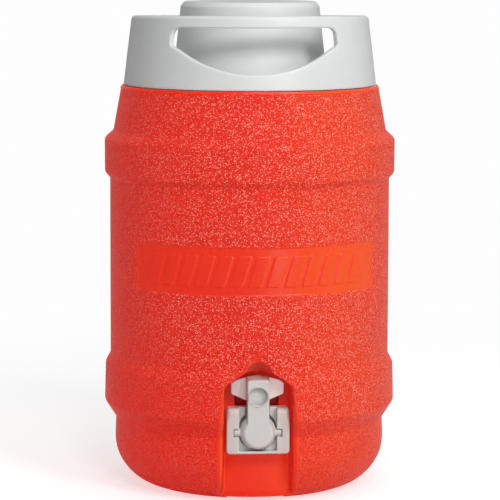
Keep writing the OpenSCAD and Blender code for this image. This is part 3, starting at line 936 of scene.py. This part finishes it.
def build_spout():
    ball_r, rim_r, pin_r, pin_end = 12.45, 12.84, 3.0, 16.9
    hole_dz, hole_r, lip_r = 26.5, 6.0, 7.3
    arm_front = -7.8
    channel_half = (5.5, 3.75)
    wings = DistanceTable(rounded(WING_OUTLINE, 6), (-24, 16), (24, 46), 0.12)

    def field(x, y, z):
        dy, dz = y - PIVOT_Y, z - PIVOT_Z
        centre_r = np.sqrt(x * x + dy * dy + dz * dz)
        rim = meet(centre_r - rim_r, np.abs(dy + 1.2) - 1.0, 0.3)
        ball = fuse(centre_r - ball_r, rim, 0.15)
        # upright arm with a crowned top, cut flat in front
        top = 38.45 + 0.09 * (dy + 7.8) - 0.010 * x * x
        arm = round_box((x, dy), centre=(0, -1.9), half=(7.7, 7.9), radius=1.0)
        arm = meet(arm, (dz - top) * 0.99, 0.9)
        arm = np.maximum(arm, -dz)
        d = meet(fuse(ball, arm, 0.8), arm_front - dy, 0.8)
        # hinge pins
        pins = meet(np.sqrt(dy * dy + dz * dz) - pin_r, np.abs(x) - pin_end, 0.4)
        d = fuse(d, pins, 0.5)
        # wings, bent forwards at the sides
        bend = 7.0 - 0.016 * np.maximum(np.abs(x) - 7, 0) ** 1.6
        d = fuse(d, meet(wings(x, dz), np.abs(dy - bend) - 1.5, 0.75), 0.7)
        # raised lip round the pouring hole
        hole_axis = np.sqrt(x * x + (dz - hole_dz) ** 2)
        lip = meet(np.maximum(hole_axis - lip_r, -8.35 - dy), dy + 4, 0.3)
        d = fuse(d, lip, 0.35)
        # countersunk pouring hole, and the waterway behind it
        taper = hole_r + 0.75 * np.clip((-5.6 - dy) / 2.6, 0, 1.2)
        hole = np.maximum(hole_axis - taper, dy + 3.15)
        turn = ease((dz - 9) / 11)
        rear, front = 3.75 - 6.9 * turn, -3.75 - 2.3 * turn
        depth = (dy - (rear + front) / 2) * channel_half[1] / ((rear - front) / 2)
        channel = round_box((x, depth), centre=(0, 0), half=channel_half, radius=3.6)
        channel = np.maximum(channel * 0.6, dz - 28.5)
        return meet(d, -np.minimum(hole, channel), 0.35)

    return field_object("fold_out_spout", field, lo=(-20, -101.5, 38.2), hi=(20, -78.4, 94.5),
                        step=0.36)


dress(build_spout(), "tap", "spout", "pour_spout")

# ------------------------------------------------------------------ tap bracket


def build_bracket():
    back, front = -80.05, -96
    stem_r, bore_r, seat_r = 9.9, 6.0, 13.15
    stem_end, ridges_from, ridge_pitch = -53.5, -68, 1.6
    bearing_r, bearing_end = 3.06, 17.2

    def field(x, y, z):
        dy, dz = y - PIVOT_Y, z - PIVOT_Z
        axis = np.sqrt(x * x + dz * dz)
        outline = round_box((x, z), centre=(0, 53.65), half=(22.3, 16.35), radius=2.6)
        block = meet(outline, between(y, front, back), 1.2 + 2.6 * fade(z, 59, 67))
        hollow = overlap(np.abs(x) - 13.4, 39.3 - z, y + 84.0)
        # funnel pads round the ball, clear of the arm
        pad_r = 13.3 + 1.3 * fade(dz, 3, 9)
        pads = overlap(pad_r - axis, y + 83.5, -90.6 + fade(dz, -2, 5) - y)
        pads = np.maximum(pads, np.minimum(8.7 - np.abs(x), dz))
        d = meet(block, -np.maximum(hollow, -pads), 0.7)
        # ridged stem through the wall
        stem = meet(axis - stem_r, between(y, -80.5, stem_end), 0.8)
        turns = 2 * math.pi * (y - ridges_from) / ridge_pitch
        ridges = 0.35 * (1 + np.cos(turns)) * (y > ridges_from)
        stem = np.maximum(stem, (axis - stem_r + ridges) * 0.8)
        d = fuse(d, stem, 0.4)
        # ball seat, the recess behind it and the bore
        ball = np.sqrt(x * x + dy * dy + dz * dz) - seat_r
        cup = np.maximum(axis - 10.2, y + 80.5)
        d = meet(d, -np.minimum(np.minimum(ball, cup), axis - bore_r), 0.3)
        # ring groove in the back face
        groove = np.maximum(np.abs(axis - 13.5) - 2.1, -81.65 - y)
        d = np.maximum(d, -groove)
        # bearings for the hinge pins, open to the front
        bearing = np.sqrt(dy * dy + dz * dz) - bearing_r
        mouth = overlap(np.abs(dz) - 2.8, dy, -100 - y)
        slot = np.maximum(np.minimum(bearing, mouth), np.abs(x) - bearing_end)
        return meet(d, -slot, 0.3)

    return field_object("tap_housing", field, lo=(-23, -97, 36.6), hi=(23, -52.8, 70.8),
                        step=0.42)


dress(build_bracket(), "tap", "keg_body", "tap_bracket")

# ------------------------------------------------------------------ lid plug and gasket


def build_thread():
    """Helical rib round the lid plug, sunk towards its root at both ends."""
    root_r, crest_r, start_z, start_angle = 77.4, 81.4, 268, math.radians(90)
    lead, turns, steps = 12.0, 1.25, 150
    root_half, crest_half, lean = 2.0, 1.3, 0.35
    points = []
    for i in range(steps + 1):
        angle = 2 * math.pi * turns * i / steps + start_angle
        z = start_z + lead * turns * i / steps
        crest = root_r + (crest_r - root_r) * (0.45 + 0.55 * ease(min(i, steps - i) / 12))
        # radius and depth below the middle of the rib, root to crest
        lower = [(root_r, root_half), (crest - lean, crest_half + 0.12),
                 (crest - lean * 0.3, crest_half - 0.1), (crest, crest_half - 0.45)]
        ring = [(r, -dz) for r, dz in lower] + lower[::-1]
        points += [(r * math.cos(angle), r * math.sin(angle), z + dz) for r, dz in ring]
    m = 8
    faces = []
    for i in range(steps):
        for j in range(m):
            a, b = m * i + j, m * i + (j + 1) % m
            faces.append((a, b, b + m, a + m))
    faces += [tuple(range(m - 1, -1, -1)), tuple(range(m * steps, m * steps + m))]
    return face_object("plug_thread", points, faces)


def build_plug():
    plug = turned_object("lid_plug", [
        (8, 262, 0.4), (78.6, 262, 2.5), (78.6, 295.1, 0.8), (86.75, 295.1, 0.5),
        (86.75, 297.05, 0.5), (76.1, 297.05, 0.4), (76.1, 264.5, 2.0), (8, 264.5, 0.4)])
    thread = build_thread()
    bm = bmesh.new()
    for part in (plug, thread):
        bm.from_mesh(part.data)
    bm.to_mesh(plug.data)
    bm.free()
    bpy.data.objects.remove(thread)
    return plug


dress(build_plug(), "lid", "lid", "lid_base")

gasket = turned_object("lid_seal", [(82.6, 292.97, 0.7), (86.8, 292.97, 0.7),
                                    (86.8, 295.03, 0.7), (82.6, 295.03, 0.7)])
dress(gasket, "gasket", "gasket", "lid_gasket")

# ------------------------------------------------------------------ CAD pieces kept as they are
# node, material, whether its edges are softened
KEPT_PIECES = [
    ("inner_liner", "liner", True), ("foam_insulation", "foam", False),
    ("foam_port_plugs", "plug", True), ("tap_outer_washer", "rubber", False),
    ("tap_inner_washer", "rubber", False), ("tap_lock_nut", "tap", True),
    ("ball_seat_ring", "rubber", False), ("lid_foam", "foam", False),
    ("lid_port_plug", "lid", True)]
for node, material, soft in KEPT_PIECES:
    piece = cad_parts[node]
    if not piece.material_slots:
        piece.data.materials.append(MATERIALS[material])
    for slot in piece.material_slots:
        slot.material = MATERIALS[material]
    if soft:
        bevel = piece.modifiers.new("soft_edges", "BEVEL")
        bevel.width = 0.0004
        bevel.segments = 2
        bevel.limit_method = "ANGLE"
        bevel.angle_limit = math.radians(40)

# ------------------------------------------------------------------ stage, light and camera
scene = bpy.context.scene


def floor_material():
    """Pale floor that turns to plain white light away from the barrel."""
    n = new_material("pale_floor")
    position = n.add("NewGeometry").outputs["Position"]
    distance = n.add("VectorMath", {0: position}, operation="LENGTH").outputs["Value"]
    far = n.map_range(distance, span=(0.2, 0.9))
    camera_ray = n.add("LightPath").outputs["Is Camera Ray"]
    surface = n.principled(Base_Color=(0.62, 0.62, 0.62), Roughness=0.9,
                           Emission_Color=(1, 1, 1), Emission_Strength=n.times(camera_ray, 0.58))
    light = n.add("Emission", {"Color": (1, 1, 1), "Strength": 0.985})
    mixed = n.add("MixShader", {"Fac": n.times(far, camera_ray), 1: surface.outputs[0],
                                2: light.outputs[0]})
    n.feed(n.tree.nodes["Material Output"].inputs["Surface"], mixed.outputs[0])
    return n.owner


def build_floor():
    material = floor_material()
    bm = bmesh.new()
    bmesh.ops.create_grid(bm, x_segments=1, y_segments=1, size=70)
    mesh = bpy.data.meshes.new("floor")
    bm.to_mesh(mesh)
    bm.free()
    floor = bpy.data.objects.new("floor", mesh)
    scene.collection.objects.link(floor)
    floor.location.z = -0.0003
    mesh.materials.append(material)


def build_world():
    """White to the camera, dimmer as a light."""
    scene.world = bpy.data.worlds.new("studio")
    n = Nodes(scene.world)
    camera_ray = n.add("LightPath").outputs["Is Camera Ray"]
    background = n.tree.nodes["Background"]
    n.feed(background.inputs[0], (1, 1, 1))
    n.feed(background.inputs[1], n.map_range(camera_ray, span=(0.0, 1.0), to=(0.365, 1.0),
                                             interpolation="LINEAR"))


def area_light(name, place, target, size, power, height=None):
    light = bpy.data.lights.new(name, "AREA")
    light.energy = power
    light.size = size
    if height:
        light.shape = "RECTANGLE"
        light.size_y = height
    obj = bpy.data.objects.new(name, light)
    scene.collection.objects.link(obj)
    obj.location = place
    obj.rotation_mode = "QUATERNION"
    obj.rotation_quaternion = (Vector(target) - Vector(place)).to_track_quat("-Z", "Y")


def build_camera():
    camera = bpy.data.cameras.new("camera")
    obj = bpy.data.objects.new("camera", camera)
    scene.collection.objects.link(obj)
    camera.sensor_width = 36
    camera.lens = 178.43
    camera.clip_start = 0.05
    camera.clip_end = 300
    turn, pitch, roll = math.radians(3.9), math.radians(6.96), math.radians(0.16)

    def turned(x, y, z):
        """Turned about Z, clockwise from above."""
        return Vector((x * math.cos(turn) + y * math.sin(turn),
                       -x * math.sin(turn) + y * math.cos(turn), z))

    place = turned(0.45, -1816.6, 392.8) * MM
    forward = turned(0, math.cos(pitch), -math.sin(pitch))
    level_up = turned(0, math.sin(pitch), math.cos(pitch))
    level_right = forward.cross(level_up)
    right = level_right * math.cos(roll) + level_up * math.sin(roll)
    up = level_up * math.cos(roll) - level_right * math.sin(roll)
    obj.matrix_world = Matrix((right, up, -forward, place)).transposed().to_4x4() \
        if False else Matrix([(right[a], up[a], -forward[a], place[a]) for a in range(3)]
                             + [(0, 0, 0, 1)])
    scene.camera = obj


build_floor()
build_world()
scene.view_settings.view_transform = "Standard"
area_light("key", (0.95, -1.5, 1.2), target=(0, 0, 0.2), size=0.45, power=14.5, height=0.6)
area_light("front", (0.15, -1.8, 1.35), target=(0, 0, 0.2), size=0.4, power=9.6)
area_light("low", (0.62, -1.85, 0.22), target=(0, 0, 0.08), size=0.3, power=3.4)
area_light("top", (0.2, -0.2, 1.9), target=(0, 0, 0.2), size=1.2, power=6)
build_camera()

bpy.context.view_layer.update()
